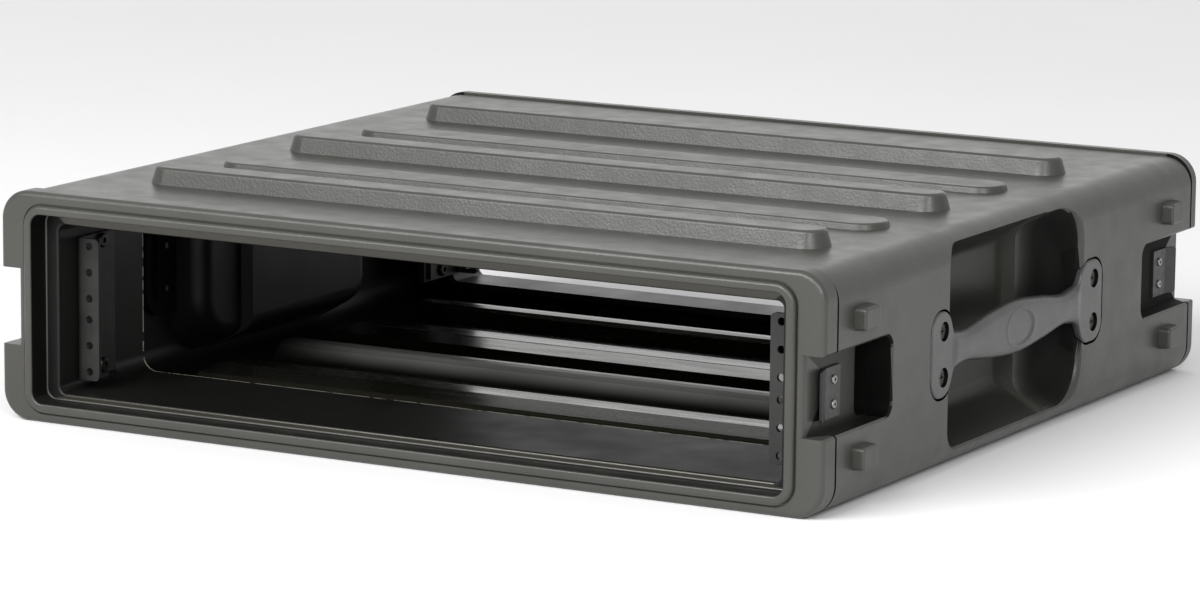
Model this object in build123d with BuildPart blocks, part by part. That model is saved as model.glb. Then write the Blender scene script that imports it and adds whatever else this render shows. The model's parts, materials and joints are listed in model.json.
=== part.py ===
from build123d import *
import os

# A two-unit rack case body. Millimetres: X is width, -Y the front, +Z up, and the origin is the
# centre of the footprint on the floor. The two sides are alike after half a turn about Z.

os.makedirs("parts", exist_ok=True)

# Moulded body
HALF_WIDTH = 275.0
RIM_Y = 259.5  # front and rear rim faces
RIM_HEIGHT = 139.2
BODY_HEIGHT = 137.6
CORNER_R = 18.0
WALL = 4.5
FRONT_GROOVE_Y = -243.9
REAR_GROOVE_Y = 249.15
GROOVE_WIDTH = 1.9
GROOVE_DEPTH = 3.0
RIM_EDGE_R = 3.5

# Openings: a raised lip, a mouth, a step and a narrower sleeve
LIP_HEIGHT = 2.9
LIP_HALF = 257.4
LIP_LOW = 6.3
LIP_HIGH = 131.7
LIP_R = 13.0
LIP_EDGE_R = 2.4
LIP_INNER_R = 1.2
FOOT_GROOVE = 1.1  # width and depth of the groove around the lip's foot
MOUTH_HALF = 251.75
MOUTH_LOW = 11.85
MOUTH_HIGH = 126.2
MOUTH_R = 7.0
STEP_Y = 246.3
SLEEVE_HALF = 242.5
SLEEVE_LOW = 16.2
SLEEVE_HIGH = 118.4
SLEEVE_R = 4.5
SLEEVE_WALL = 4.0
SLEEVE_EDGE_R = 1.5
FRONT_SLEEVE_END = -158.5
THROAT_Y = -190.5  # past here the front sleeve is a little narrower, with rounder corners
THROAT_HALF = 241.5
THROAT_R = 10.0
REAR_SLEEVE_END = 212.0
REAR_CHEEK_END = 174.0  # the rear sleeve's side walls reach further in, behind the rails

# Stacking ribs on the top and channels underneath: (centre Y)
TALL_RIBS_Y = (-171.5, -17.0, 148.0)
LOW_RIBS_Y = (-94.2, 66.2)
RIB_CENTRE_X = 4.5
TALL_RIB_LENGTH = 456.0
TALL_RIB_WIDTH = 27.0
TALL_RIB_HEIGHT = 10.2
TALL_RIB_EDGE_R = 2.5
LOW_RIB_LENGTH = 452.7
LOW_RIB_WIDTH = 32.0
LOW_RIB_HEIGHT = 3.8
LOW_RIB_EDGE_R = 1.5
RIB_DRAFT = 16.0
CHANNEL_LENGTH = 464.0
CHANNEL_INSET = 3.0  # of a channel's outline from its hump's
# half outlines of the floor's humps, (Y from the centre, Z), on the inner side of the floor
TALL_HUMP = ((18.5, 4.5), (11.0, 12.6), (6.0, 14.7), (0.0, 15.2))
LOW_HUMP = ((31.5, 4.5), (25.0, 10.2), (0.0, 11.8))

# Side bumpers
BUMPER_Y = 213.8
BUMPER_Z = (29.4, 108.0)
BUMPER_LENGTH = 19.5
BUMPER_HEIGHT = 14.0
BUMPER_PROUD = 7.0
BUMPER_CORNER_R = 3.0
BUMPER_DRAFT = 5.0
BUMPER_EDGE_R = 1.6

# Latch recesses and their keepers
RECESS_INNER_Y = 175.0
RECESS_LOW = 45.8
RECESS_HIGH = 92.2
RECESS_DEPTH = 12.5
RECESS_R = 8.0
RECESS_EDGE = 1.3  # bevel along the recess's edges
DEEP_Y = (176.5, 197.7)
DEEP_DEPTH = 22.0
DEEP_INSET = 1.5  # above and below, from the recess
KEEPER_HEIGHT = 29.0
KEEPER_Z = 66.8
KEEPER_THICK = 1.6
KEEPER_FLARE = 3.0  # the lip's rise at its outer end
KEEPER_PLATE = 18.5  # length of the plate that lies on the recess floor
KEEPER_LIP = 9.5
KEEPER_Y = 246.0  # outer end of the lip
KEEPER_CORNER_R = 2.0
KEEPER_BEND = 0.5  # setback of the bend on the lip's outer face
RIVET_INSET = 19.6  # from the lip's outer end
RIVET_SPACING = 14.0
RIVET_R = 2.0
RIVET_HEAD_R = 2.7
RIVET_HEAD = 1.2
RIVET_HEAD_EDGE_R = 0.8
RIVET_TAIL = 2.0
RIVET_BORE_R = 1.0

# Handle pocket, measured on the right side
POCKET_START_Y = -99.3
POCKET_STEP_Y = 33.0
POCKET_END_Y = 83.4
POCKET_LOW = 9.8
POCKET_HIGH = 134.4
POCKET_DEPTH = 30.0
SHALLOW_DEPTH = 22.5
POCKET_FRONT_R = 14.0
POCKET_REAR_R = 27.0
POCKET_BACK_R = 12.0  # between the walls and the back
# rounding of the mouth, (depth below the side, growth)
POCKET_MOUTH = ((4.5, -0.3), (3.0, 0.03), (1.6, 0.35), (0.8, 0.96), (0.25, 1.8), (-0.2, 3.0))
POCKET_DRAFT = 0.57  # above and below, mm for each mm of depth
FRONT_DRAFT = 0.10
REAR_DRAFT = 0.22
POCKET_NARROWS = 0.6  # the shallow part, all around
POCKET_STEP_SLOPE = 0.27

# Handle
HANDLE_Z = 69.7
FRONT_PLATE_Y = (-125.3, -97.3)
REAR_PLATE_Y = (80.7, 113.7)
PLATE_HEIGHT = 51.5
PLATE_CORNER_R = 13.0
PLATE_THICK = 4.0
PLATE_GAP = 0.8
STRAP_BACK = 8.0  # from the side face inward
STRAP_PROUD = 1.2
STRAP_EDGE_R = 2.2
STRAP_LONG_EDGE = 60.0  # only the strap's long edges exceed this
# strap half height along Y, (Y, half height)
STRAP_OUTLINE = ((-97.3, 11.9), (-76.0, 9.6), (-41.0, 13.6), (-5.0, 16.1), (30.0, 13.2), (61.0, 9.5), (80.7, 11.9))
BADGE_Y = -6.0
BADGE_SIZE = (36.0, 21.0)
BADGE_DEPTH = 0.7
CORE_Y = (-119.0, 107.5)
CORE_WIDTH = 13.0
CORE_PAD_HEIGHT = 38.0
CORE_PAD_LENGTH = 13.0
CORE_PAD_R = 3.0
CORE_THICK = 1.2
CORE_INSET = 0.3  # from the plates' inner faces
HANDLE_SCREW_Y = (-108.5, 101.0)
HANDLE_SCREW_SPACING = 26.8
HANDLE_SCREW_R = 1.8
HANDLE_SCREW_HEAD_R = 4.6
HANDLE_SCREW_HEAD = 1.3
CROSS_LENGTH = 4.2  # cross recess in the head
CROSS_WIDTH = 0.9
CROSS_DEPTH = 0.9
WELL_R = 5.8  # screw wells in the end plates
WELL_DEPTH = 2.4
BACKING_HEIGHT = 44.0
BACKING_THICK = 2.0
BACKING_CORNER_R = 2.0
FRONT_BACKING_Y = (-121.5, -104.3)
REAR_BACKING_Y = (92.0, 110.0)

# Rack rails to EIA-310: hole columns 465.1 apart, heights repeating every 44.45
RAIL_FACE_Y = {"front": 229.0, "rear": 217.0}
RAIL_INNER_X = 225.8
RAIL_DEPTH = 38.0
RAIL_THICK = 2.3
RAIL_BEND_R = 4.3
RACK_LOW = 20.95  # the hole pattern's lower edge
RAIL_Z = (22.0, 108.2)
RAIL_CORNER_R = 3.0
RACK_UNIT = 44.45
RACK_UNITS = 2
RACK_HOLE_X = 232.55
RACK_HOLE_Z = (6.35, 22.225, 38.1)  # in each unit, from its lower edge
RACK_HOLE_R = 2.35
RAIL_SCREW_INSET = 24.0  # behind the rail's face
RAIL_SCREW_R = 2.4
RAIL_SCREW_HEAD_R = 4.5
RAIL_SCREW_HEAD = 2.5
RAIL_SCREW_EDGE_R = 1.2
HEX_R = 1.9  # socket, across its corners
HEX_DEPTH = 1.7
NUT_SIZE = 10.0
NUT_THICK = 4.5
NUT_CORNER_R = 1.0
SCREW_GAP = 0.2
SCREW_END = 1.5  # a screw's length past its nut
CLEAR = 1.0  # a cutter's length past the face that it cuts

RACK_CENTRE_Z = RACK_LOW + RACK_UNIT * RACK_UNITS / 2
RAIL_SCREW_Z = (RACK_CENTRE_Z - 38.1, RACK_CENTRE_Z + 38.1)
RECESS_FLOOR_X = HALF_WIDTH - RECESS_DEPTH
HANDLE_SCREW_Z = (HANDLE_Z - HANDLE_SCREW_SPACING / 2, HANDLE_Z + HANDLE_SCREW_SPACING / 2)
PLATE_BED_X = HALF_WIDTH - PLATE_THICK
RIVET_Z = (KEEPER_Z - RIVET_SPACING / 2, KEEPER_Z + RIVET_SPACING / 2)
SIDES = {"right": 1, "left": -1}
ENDS = {"front": -1, "rear": 1}


def bar(y0, y1, half_x, z0, z1, radius, mode=Mode.ADD):
    """Rounded rectangle across X and Z, extruded from y0 to y1."""
    with BuildSketch(Plane.XZ.offset(-y1)) as section:
        with Locations((0, (z0 + z1) / 2)):
            RectangleRounded(2 * half_x, z1 - z0, radius)
    extrude(section.sketch, amount=y1 - y0, mode=mode)


def block(x0, x1, y0, y1, z0, z1, mode=Mode.ADD):
    """Box between two corners."""
    with Locations(((x0 + x1) / 2, (y0 + y1) / 2, (z0 + z1) / 2)):
        Box(x1 - x0, y1 - y0, z1 - z0, mode=mode)


def side_block(side, x0, x1, y0, y1, z0, z1, radius, mode=Mode.ADD):
    """Rounded rectangle across Y and Z on one side of the case, extruded from |X| = x0 to x1."""
    with BuildSketch(Plane.YZ.offset(side * x0)) as section:
        with Locations(((y0 + y1) / 2, (z0 + z1) / 2)):
            RectangleRounded(abs(y1 - y0), z1 - z0, radius)
    extrude(section.sketch, amount=side * (x1 - x0), mode=mode)


def cross_holes(side, x0, x1, spots, radius, mode=Mode.SUBTRACT):
    """Round bars along X at (Y, Z) spots, from |X| = x0 to x1."""
    with Locations(*[(side * (x0 + x1) / 2, y, z) for y, z in spots]):
        Cylinder(radius, x1 - x0, rotation=(0, 90, 0), mode=mode)


def rib(y, length, width, z0, height, edge_r):
    """Stacking rib with round ends and drafted sides."""
    with BuildSketch(Plane.XY.offset(z0)) as plan:
        with Locations((RIB_CENTRE_X, y)):
            SlotOverall(length, width)
    extrude(plan.sketch, amount=height, taper=RIB_DRAFT)
    if edge_r:
        top = edges(Select.LAST).filter_by_position(Axis.Z, z0 + height - 0.01, z0 + height + 0.01)
        fillet(top, edge_r)


def hump(y, outline, drop, inset, mode):
    """Hump of the floor, full length: the outline, lowered by drop and narrowed by inset."""
    half = [(max(v - inset, 0.0), z - drop) for v, z in outline]
    mirrored = [(-v, z) for v, z in reversed(half) if v > 0]
    base = half[0][0]
    points = [(y + base, -drop), *[(y + v, z) for v, z in half + mirrored], (y - base, -drop)]
    with BuildSketch(Plane.YZ.offset(RIB_CENTRE_X - CHANNEL_LENGTH / 2 + inset)) as section:
        with BuildLine():
            Polyline(*points, close=True)
        make_face()
    extrude(section.sketch, amount=CHANNEL_LENGTH - 2 * inset, mode=mode)


def pocket_outline(x, grow):
    """The right handle pocket's outline where |X| = x, grown outward by grow."""
    depth = HALF_WIDTH - x
    y0 = POCKET_START_Y + FRONT_DRAFT * depth - grow
    y1 = POCKET_END_Y - REAR_DRAFT * depth + grow
    z0 = POCKET_LOW + POCKET_DRAFT * depth - grow
    z1 = POCKET_HIGH - POCKET_DRAFT * depth + grow
    with BuildSketch(Plane.YZ.offset(x)) as outline:
        with Locations(((y0 + y1) / 2, (z0 + z1) / 2)):
            Rectangle(y1 - y0, z1 - z0)
        fillet(vertices().group_by(Axis.X)[0], POCKET_FRONT_R + grow)
        fillet(vertices().group_by(Axis.X)[-1], POCKET_REAR_R + grow)
    return outline.sketch


def drafted_space(depth, grow):
    """Space with the pocket's drafted walls and a flat back at one depth."""
    back_x = HALF_WIDTH - depth
    mouth_x = HALF_WIDTH + 12.0
    with BuildPart() as space:
        loft([pocket_outline(back_x, grow), pocket_outline(mouth_x, grow)], ruled=True)
        fillet(edges().filter_by_position(Axis.X, back_x - 0.01, back_x + 0.01), POCKET_BACK_R)
    return space.part


def pocket(grow):
    """Handle pocket on the right side, grown outward by grow; its rear part is shallower."""
    deep_x = HALF_WIDTH - POCKET_DEPTH - grow
    with BuildPart() as space:
        add(drafted_space(POCKET_DEPTH + grow, grow))
        with BuildSketch(Plane.XY):
            with BuildLine():
                Polyline(
                    (deep_x - 1, POCKET_STEP_Y + grow),
                    (HALF_WIDTH, POCKET_STEP_Y + grow + POCKET_STEP_SLOPE * (HALF_WIDTH - deep_x)),
                    (HALF_WIDTH + 20, POCKET_STEP_Y + grow + POCKET_STEP_SLOPE * (HALF_WIDTH - deep_x)),
                    (HALF_WIDTH + 20, 2 * POCKET_END_Y),
                    (deep_x - 1, 2 * POCKET_END_Y),
                    close=True,
                )
            make_face()
        extrude(amount=2 * BODY_HEIGHT, both=True, mode=Mode.SUBTRACT)
        add(drafted_space(SHALLOW_DEPTH + grow, grow - POCKET_NARROWS))
    return space.part


def plate_beds(grow, x0, mode):
    """Shallow beds for a handle's end plates, on the right side."""
    for y0, y1 in (FRONT_PLATE_Y, REAR_PLATE_Y):
        half = PLATE_HEIGHT / 2 + grow
        side_block(1, x0, HALF_WIDTH + 1, y0 - grow, y1 + grow, HANDLE_Z - half, HANDLE_Z + half,
                   PLATE_CORNER_R + grow, mode)


def make_outer():
    """The case's outer form, solid, with ribs, bumpers, lips, grooves and side recesses."""
    with BuildPart() as outer:
        bar(FRONT_GROOVE_Y, REAR_GROOVE_Y, HALF_WIDTH, 0, BODY_HEIGHT, CORNER_R)
        bar(-RIM_Y, FRONT_GROOVE_Y, HALF_WIDTH, 0, RIM_HEIGHT, CORNER_R)
        bar(REAR_GROOVE_Y, RIM_Y, HALF_WIDTH, 0, RIM_HEIGHT, CORNER_R)
        for y in (-RIM_Y, RIM_Y):
            fillet(edges().filter_by_position(Axis.Y, y - 0.01, y + 0.01), RIM_EDGE_R)
        for end in (-1, 1):
            face = end * RIM_Y
            crest = end * (RIM_Y + LIP_HEIGHT)
            foot = end * (RIM_Y - FOOT_GROOVE)
            bar(min(face, foot), max(face, foot), LIP_HALF + FOOT_GROOVE, LIP_LOW - FOOT_GROOVE,
                LIP_HIGH + FOOT_GROOVE, LIP_R + FOOT_GROOVE, Mode.SUBTRACT)
            bar(min(foot, crest), max(foot, crest), LIP_HALF, LIP_LOW, LIP_HIGH, LIP_R)
            fillet(edges().filter_by_position(Axis.Y, crest - 0.01, crest + 0.01), LIP_EDGE_R)
        for y in TALL_RIBS_Y:
            rib(y, TALL_RIB_LENGTH, TALL_RIB_WIDTH, BODY_HEIGHT, TALL_RIB_HEIGHT, TALL_RIB_EDGE_R)
        for y in LOW_RIBS_Y:
            rib(y, LOW_RIB_LENGTH, LOW_RIB_WIDTH, BODY_HEIGHT, LOW_RIB_HEIGHT, LOW_RIB_EDGE_R)
        for side in (-1, 1):
            for y in (-BUMPER_Y, BUMPER_Y):
                for z in BUMPER_Z:
                    bumper(side, y, z)
        for groove_y in (FRONT_GROOVE_Y, REAR_GROOVE_Y):
            groove(groove_y)
        for side in (-1, 1):
            for end in (-1, 1):
                latch_recess(side, end, 0.0, Mode.SUBTRACT)
                with BuildSketch(Plane.YZ.offset(side * (HALF_WIDTH - RECESS_EDGE))) as mouth:
                    with Locations((end * (RIM_Y + 20 + RECESS_INNER_Y) / 2, (RECESS_LOW + RECESS_HIGH) / 2)):
                        RectangleRounded(RIM_Y + 20 - RECESS_INNER_Y, RECESS_HIGH - RECESS_LOW, RECESS_R)
                extrude(amount=side * 2 * RECESS_EDGE, taper=-45, mode=Mode.SUBTRACT)
        recess_ends = edges().filter_by(Axis.Z).filter_by(is_recess_end)
        fillet(recess_ends, RIM_EDGE_R)
        for y in TALL_RIBS_Y:
            hump(y, TALL_HUMP, WALL, CHANNEL_INSET, Mode.SUBTRACT)
        for y in LOW_RIBS_Y:
            hump(y, LOW_HUMP, WALL, CHANNEL_INSET, Mode.SUBTRACT)
        with BuildPart(mode=Mode.PRIVATE) as rounded_mouth:
            loft([pocket_outline(HALF_WIDTH - depth, grow) for depth, grow in POCKET_MOUTH], ruled=True)
        hand_space = pocket(0.0) + rounded_mouth.part
        add(hand_space, mode=Mode.SUBTRACT)
        add(hand_space.rotate(Axis.Z, 180), mode=Mode.SUBTRACT)
        with BuildPart(mode=Mode.PRIVATE) as beds:
            plate_beds(PLATE_GAP, PLATE_BED_X, Mode.ADD)
        add(beds.part, mode=Mode.SUBTRACT)
        add(beds.part.rotate(Axis.Z, 180), mode=Mode.SUBTRACT)
    return outer.part


def is_recess_end(edge):
    """Whether an upright edge is where a latch recess's floor meets a rim face."""
    spot = edge.center()
    return abs(abs(spot.X) - RECESS_FLOOR_X) < 0.01 and abs(abs(spot.Y) - RIM_Y) < 0.01


def bumper(side, y, z):
    """Moulded side bumper with drafted, rounded edges."""
    with BuildSketch(Plane.YZ.offset(side * HALF_WIDTH)) as base:
        with Locations((y, z)):
            RectangleRounded(BUMPER_LENGTH, BUMPER_HEIGHT, BUMPER_CORNER_R)
    extrude(base.sketch, amount=side * BUMPER_PROUD, taper=BUMPER_DRAFT)
    crest = side * (HALF_WIDTH + BUMPER_PROUD)
    fillet(edges(Select.LAST).filter_by_position(Axis.X, crest - 0.01, crest + 0.01), BUMPER_EDGE_R)


def groove(y):
    """Parting groove around the case."""
    with BuildSketch(Plane.XZ.offset(-y - GROOVE_WIDTH / 2)) as ring:
        with Locations((0, RIM_HEIGHT / 2)):
            Rectangle(2 * HALF_WIDTH + 10, RIM_HEIGHT + 10)
        with Locations((0, BODY_HEIGHT / 2)):
            RectangleRounded(
                2 * (HALF_WIDTH - GROOVE_DEPTH),
                BODY_HEIGHT - 2 * GROOVE_DEPTH,
                CORNER_R - GROOVE_DEPTH,
                mode=Mode.SUBTRACT,
            )
    extrude(ring.sketch, amount=GROOVE_WIDTH, mode=Mode.SUBTRACT)


def latch_recess(side, end, grow, mode):
    """Latch recess, open at the rim, with a deeper pocket at its inner end."""
    rim = end * (RIM_Y + 20.0)
    inner = end * (RECESS_INNER_Y - grow)
    side_block(side, RECESS_FLOOR_X - grow, HALF_WIDTH + 1, min(rim, inner), max(rim, inner),
               RECESS_LOW - grow, RECESS_HIGH + grow, RECESS_R + grow, mode)
    deep = sorted((end * (DEEP_Y[0] - grow), end * (DEEP_Y[1] + grow)))
    side_block(side, HALF_WIDTH - DEEP_DEPTH - grow, HALF_WIDTH, deep[0], deep[1],
               RECESS_LOW + DEEP_INSET - grow, RECESS_HIGH - DEEP_INSET + grow,
               RECESS_R - DEEP_INSET + grow, mode)


def make_cavity():
    """Everything empty inside the case: the hold, the openings and the hollow round the sleeves."""
    inner_half = HALF_WIDTH - WALL
    ceiling = BODY_HEIGHT - WALL
    with BuildPart() as cavity:
        bar(-RIM_Y + WALL, RIM_Y - WALL, inner_half, WALL, ceiling, CORNER_R - WALL)
        for y in TALL_RIBS_Y:
            rib(y, TALL_RIB_LENGTH - 2 * WALL, TALL_RIB_WIDTH - 2 * WALL, ceiling, TALL_RIB_HEIGHT, 0)
        for y in LOW_RIBS_Y:
            rib(y, LOW_RIB_LENGTH - 2 * WALL, LOW_RIB_WIDTH - 2 * WALL, ceiling, LOW_RIB_HEIGHT, 0)
        sleeve_out = SLEEVE_HALF + SLEEVE_WALL
        sleeve_box = (sleeve_out, SLEEVE_LOW - SLEEVE_WALL, SLEEVE_HIGH + SLEEVE_WALL)
        mouth_box = (MOUTH_HALF + WALL, MOUTH_LOW - WALL, MOUTH_HIGH + WALL)
        for end, sleeve_end in ((-1, FRONT_SLEEVE_END), (1, REAR_SLEEVE_END)):
            step = end * (STEP_Y - SLEEVE_WALL)
            rim = end * RIM_Y
            bar(min(step, sleeve_end), max(step, sleeve_end), *sleeve_box, SLEEVE_R + SLEEVE_WALL, Mode.SUBTRACT)
            bar(min(step, rim), max(step, rim), *mouth_box, MOUTH_R + WALL, Mode.SUBTRACT)
        for side in (-1, 1):
            near = min(side * SLEEVE_HALF, side * sleeve_out)
            block(near, near + SLEEVE_WALL, REAR_CHEEK_END, REAR_SLEEVE_END, SLEEVE_LOW + SLEEVE_R,
                  SLEEVE_HIGH - SLEEVE_R, Mode.SUBTRACT)
            for end in (-1, 1):
                latch_recess(side, end, WALL - 0.5, Mode.SUBTRACT)
        for y in TALL_RIBS_Y:
            hump(y, TALL_HUMP, 0.0, 0.0, Mode.SUBTRACT)
        for y in LOW_RIBS_Y:
            hump(y, LOW_HUMP, 0.0, 0.0, Mode.SUBTRACT)
        bulge = pocket(WALL)
        add(bulge, mode=Mode.SUBTRACT)
        add(bulge.rotate(Axis.Z, 180), mode=Mode.SUBTRACT)
        with BuildPart(mode=Mode.PRIVATE) as beds:
            plate_beds(PLATE_GAP + WALL, PLATE_BED_X - WALL, Mode.ADD)
        add(beds.part, mode=Mode.SUBTRACT)
        add(beds.part.rotate(Axis.Z, 180), mode=Mode.SUBTRACT)
        for end, sleeve_end in ((-1, FRONT_SLEEVE_END), (1, REAR_SLEEVE_END)):
            step = end * STEP_Y
            crest = end * (RIM_Y + LIP_HEIGHT)
            narrows = THROAT_Y if end < 0 else sleeve_end
            bar(min(step, narrows), max(step, narrows), SLEEVE_HALF, SLEEVE_LOW, SLEEVE_HIGH, SLEEVE_R)
            bar(min(step, crest), max(step, crest), MOUTH_HALF, MOUTH_LOW, MOUTH_HIGH, MOUTH_R)
        bar(THROAT_Y, FRONT_SLEEVE_END, THROAT_HALF, SLEEVE_LOW, SLEEVE_HIGH, THROAT_R)
    return cavity.part


def rim_loop(y, half_x):
    """Edges that lie in the plane at y and within half_x of the middle."""
    flat = edges().filter_by_position(Axis.Y, y - 0.01, y + 0.01)
    return [e for e in flat if abs(e.center().X) < half_x + 0.01 and e.bounding_box().size.Y < 0.01]


def make_shell():
    """The hollow moulding, with every hole that a fastener passes through."""
    with BuildPart() as shell:
        add(make_outer())
        add(make_cavity(), mode=Mode.SUBTRACT)
        for end in ENDS.values():
            crest = end * (RIM_Y + LIP_HEIGHT)
            fillet(rim_loop(crest, MOUTH_HALF), LIP_INNER_R)
            fillet(rim_loop(end * STEP_Y, SLEEVE_HALF), SLEEVE_EDGE_R)
        for side in (-1, 1):
            for end_name, end in ENDS.items():
                rail_spots = rail_screw_spots(end, RAIL_FACE_Y[end_name])
                cross_holes(side, SLEEVE_HALF - CLEAR, SLEEVE_HALF + SLEEVE_WALL + CLEAR, rail_spots,
                            RAIL_SCREW_R + SCREW_GAP)
                cross_holes(side, RECESS_FLOOR_X - WALL - CLEAR, RECESS_FLOOR_X + CLEAR, rivet_spots(end),
                            RIVET_R + SCREW_GAP)
            handle_spots = [(side * y, z) for y in HANDLE_SCREW_Y for z in HANDLE_SCREW_Z]
            cross_holes(side, PLATE_BED_X - WALL - CLEAR, PLATE_BED_X + CLEAR, handle_spots,
                        HANDLE_SCREW_R + SCREW_GAP)
    return shell.part


def rail_screw_spots(end, face_y):
    """(Y, Z) of the screws of a rail whose flange face is at face_y."""
    return [(end * (face_y - RAIL_SCREW_INSET), z) for z in RAIL_SCREW_Z]


def rivet_spots(end):
    """(Y, Z) of a keeper's rivets."""
    return [(end * (KEEPER_Y - RIVET_INSET), z) for z in RIVET_Z]


def make_rail(side, end, face_y):
    """Folded steel angle: a front flange with the rack holes, a side flange on the sleeve wall."""
    x_out = SLEEVE_HALF
    x_in = x_out - RAIL_THICK
    y_in = face_y - RAIL_THICK
    y_back = face_y - RAIL_DEPTH
    outline = ((RAIL_INNER_X, face_y), (x_out, face_y), (x_out, y_back), (x_in, y_back), (x_in, y_in))
    with BuildPart() as rail:
        with BuildSketch(Plane.XY.offset(RAIL_Z[0])):
            with BuildLine():
                Polyline(*[(side * x, end * y) for x, y in (*outline, (RAIL_INNER_X, y_in))], close=True)
            make_face()
            fillet(vertices().sort_by_distance(Vector(side * x_out, end * face_y))[0], RAIL_BEND_R)
            fillet(vertices().sort_by_distance(Vector(side * x_in, end * y_in))[0], RAIL_BEND_R - RAIL_THICK)
        extrude(amount=RAIL_Z[1] - RAIL_Z[0])
        free_edges = edges().filter_by(Axis.Y).filter_by(lambda e: abs(abs(e.center().X) - RAIL_INNER_X) < 0.01)
        fillet(free_edges, RAIL_CORNER_R)
        heights = [RACK_LOW + RACK_UNIT * unit + z for unit in range(RACK_UNITS) for z in RACK_HOLE_Z]
        with BuildSketch(Plane.XZ.offset(-end * face_y)):
            with Locations(*[(side * RACK_HOLE_X, z) for z in heights]):
                Circle(RACK_HOLE_R)
        extrude(amount=2 * RAIL_THICK, both=True, mode=Mode.SUBTRACT)
        spots = rail_screw_spots(end, face_y)
        cross_holes(side, x_in - RAIL_THICK, x_out + RAIL_THICK, spots, RAIL_SCREW_R + SCREW_GAP)
    return rail.part


def make_rail_screws(side, spots):
    """Two button-head screws through a rail's side flange."""
    seat = SLEEVE_HALF - RAIL_THICK
    crown = seat - RAIL_SCREW_HEAD
    tip = SLEEVE_HALF + SLEEVE_WALL + NUT_THICK + SCREW_END
    with BuildPart() as screws:
        cross_holes(side, crown, seat, spots, RAIL_SCREW_HEAD_R, Mode.ADD)
        fillet(edges().filter_by_position(Axis.X, side * crown - 0.01, side * crown + 0.01), RAIL_SCREW_EDGE_R)
        cross_holes(side, seat, tip, spots, RAIL_SCREW_R, Mode.ADD)
        with BuildSketch(Plane.YZ.offset(side * crown)):
            with Locations(*spots):
                RegularPolygon(HEX_R, 6)
        extrude(amount=side * HEX_DEPTH, mode=Mode.SUBTRACT)
    return screws.part


def make_rail_nuts(side, spots):
    """Two square nuts behind the sleeve wall."""
    with BuildPart() as nuts:
        with BuildSketch(Plane.YZ.offset(side * (SLEEVE_HALF + SLEEVE_WALL))):
            with Locations(*spots):
                RectangleRounded(NUT_SIZE, NUT_SIZE, NUT_CORNER_R)
                Circle(RAIL_SCREW_R + SCREW_GAP, mode=Mode.SUBTRACT)
        extrude(amount=side * NUT_THICK)
    return nuts.part


def make_keeper(side, end):
    """Folded latch keeper: a plate on the recess floor and a lip that flares out towards the rim."""
    floor = RECESS_FLOOR_X
    bend = KEEPER_Y - KEEPER_LIP
    inner_end = bend - KEEPER_PLATE
    outline = (
        (floor, inner_end),
        (floor, bend),
        (floor + KEEPER_FLARE, KEEPER_Y),
        (floor + KEEPER_FLARE + KEEPER_THICK, KEEPER_Y),
        (floor + KEEPER_THICK, bend - KEEPER_BEND),
        (floor + KEEPER_THICK, inner_end),
    )
    with BuildPart() as keeper:
        with BuildSketch(Plane.XY.offset(KEEPER_Z - KEEPER_HEIGHT / 2)):
            with BuildLine():
                Polyline(*[(side * x, end * y) for x, y in outline], close=True)
            make_face()
        extrude(amount=KEEPER_HEIGHT)
        outer_corners = edges().filter_by(Axis.X).filter_by(lambda e: abs(abs(e.center().Y) - KEEPER_Y) < 0.1)
        fillet(outer_corners, KEEPER_CORNER_R)
        cross_holes(side, floor - CLEAR, floor + KEEPER_THICK + CLEAR, rivet_spots(end), RIVET_R + SCREW_GAP)
    return keeper.part


def make_keeper_rivets(side, end):
    """Two blind rivets that hold a keeper to the recess floor."""
    spots = rivet_spots(end)
    seat = RECESS_FLOOR_X + KEEPER_THICK
    back = RECESS_FLOOR_X - WALL + 0.5
    with BuildPart() as rivets:
        cross_holes(side, seat, seat + RIVET_HEAD, spots, RIVET_HEAD_R, Mode.ADD)
        crown = side * (seat + RIVET_HEAD)
        fillet(edges().filter_by_position(Axis.X, crown - 0.01, crown + 0.01), RIVET_HEAD_EDGE_R)
        cross_holes(side, back, seat, spots, RIVET_R, Mode.ADD)
        cross_holes(side, back - RIVET_TAIL, back, spots, RIVET_HEAD_R, Mode.ADD)
        cross_holes(side, seat - 1.0, seat + RIVET_HEAD + CLEAR, spots, RIVET_BORE_R)
    return rivets.part


def make_core():
    """Steel strip moulded into the right handle, with a wider pad at each end."""
    with BuildPart() as core:
        with BuildSketch(Plane.YZ.offset(PLATE_BED_X + CORE_INSET)):
            with Locations(((CORE_Y[0] + CORE_Y[1]) / 2, HANDLE_Z)):
                Rectangle(CORE_Y[1] - CORE_Y[0], CORE_WIDTH)
            for y in HANDLE_SCREW_Y:
                with Locations((y, HANDLE_Z)):
                    RectangleRounded(CORE_PAD_LENGTH, CORE_PAD_HEIGHT, CORE_PAD_R)
            with Locations(*[(y, z) for y in HANDLE_SCREW_Y for z in HANDLE_SCREW_Z]):
                Circle(HANDLE_SCREW_R + 2 * SCREW_GAP, mode=Mode.SUBTRACT)
        extrude(amount=CORE_THICK)
    return core.part


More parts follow.
